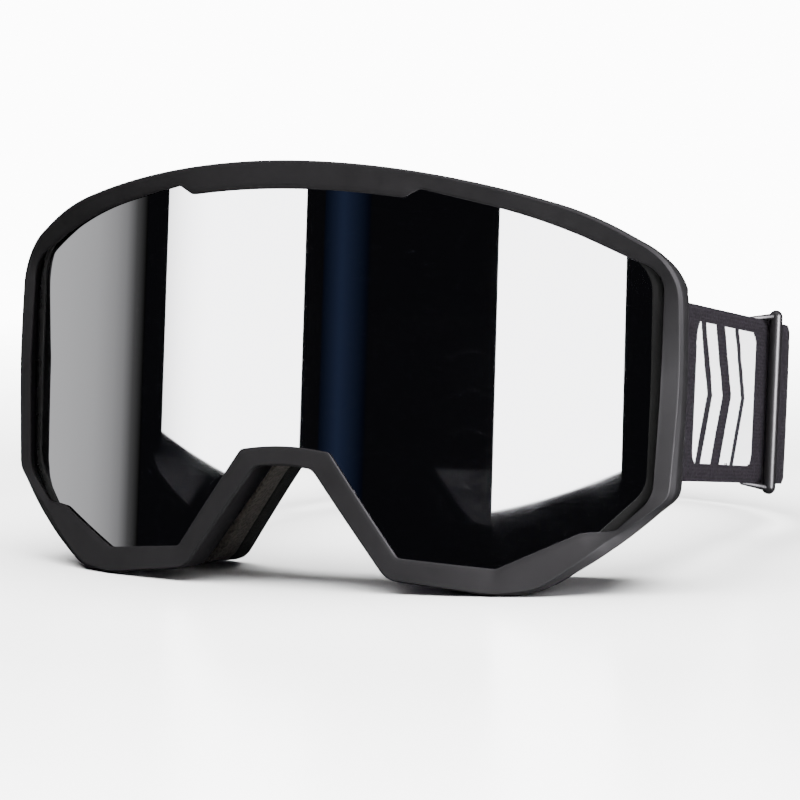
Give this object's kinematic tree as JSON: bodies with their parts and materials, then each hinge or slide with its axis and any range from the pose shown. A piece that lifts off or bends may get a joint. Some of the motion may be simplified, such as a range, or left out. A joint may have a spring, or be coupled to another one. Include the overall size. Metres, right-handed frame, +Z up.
{
  "type": "ski goggles",
  "caption": "Ski goggles with a faceted black frame, cylindrical mirror lens, layered face foam and an elastic head strap with slide adjusters.",
  "frame": {"origin": "centre of the footprint of the standing goggles, on the surface that they rest on", "axes": "+Z up, the lens looks along -Y, the strap runs back along +Y, +X is the wearer's left"},
  "size_m": [0.1746, 0.2212, 0.0994],
  "materials": {
    "frame_plastic": "matt charcoal black moulded plastic with crisp facets",
    "rim_gloss": "glossy black lens rim",
    "mirror_lens": "silver mirror coat on polycarbonate",
    "spacer_foam": "dense black closed-cell foam tape",
    "clear_lens": "clear anti-fog lens",
    "inner_plastic": "matt black flexible plastic",
    "vent_foam": "thin open-cell vent foam",
    "open_cell_foam": "grainy dark open-cell foam",
    "soft_foam": "black soft foam",
    "fleece": "black brushed fleece",
    "strap_knit": "black knitted elastic with a woven white pattern",
    "grip_silicone": "translucent dark silicone",
    "pin_steel": "steel pin",
    "slider_plastic": "satin black moulded plastic",
    "thread": "black sewing thread"
  },
  "bodies": {
    "goggles": {"outer_frame": "frame_plastic", "lens_rim": "rim_gloss", "outer_lens": "mirror_lens", "lens_spacer_foam": "spacer_foam", "inner_lens": "clear_lens", "inner_frame": "inner_plastic", "top_vent_foam": "vent_foam", "bottom_vent_foam_left": "vent_foam", "bottom_vent_foam_right": "vent_foam", "face_foam_base": "open_cell_foam", "face_foam_soft": "soft_foam", "face_fleece": "fleece", "strap_band": "strap_knit", "strap_grip_lines": "grip_silicone", "strap_anchor_left": "inner_plastic", "strap_anchor_right": "inner_plastic", "strap_pin_left": "pin_steel", "strap_pin_right": "pin_steel", "strap_tail_left": "strap_knit", "strap_tail_right": "strap_knit"},
    "slider_left": {"strap_slider_left": "slider_plastic", "tail_seam_left": "thread"},
    "slider_right": {"strap_slider_right": "slider_plastic", "tail_seam_right": "thread"}
  },
  "joints": [
    {"name": "slider_left_slide", "type": "slide", "parent": "goggles", "child": "slider_left", "axis": [0.1297, -0.9857, 0.108], "range_m": [0, 0.045]},
    {"name": "slider_right_slide", "type": "slide", "parent": "goggles", "child": "slider_right", "axis": [-0.1297, -0.9857, 0.108], "range_m": [0, 0.045]}
  ]
}
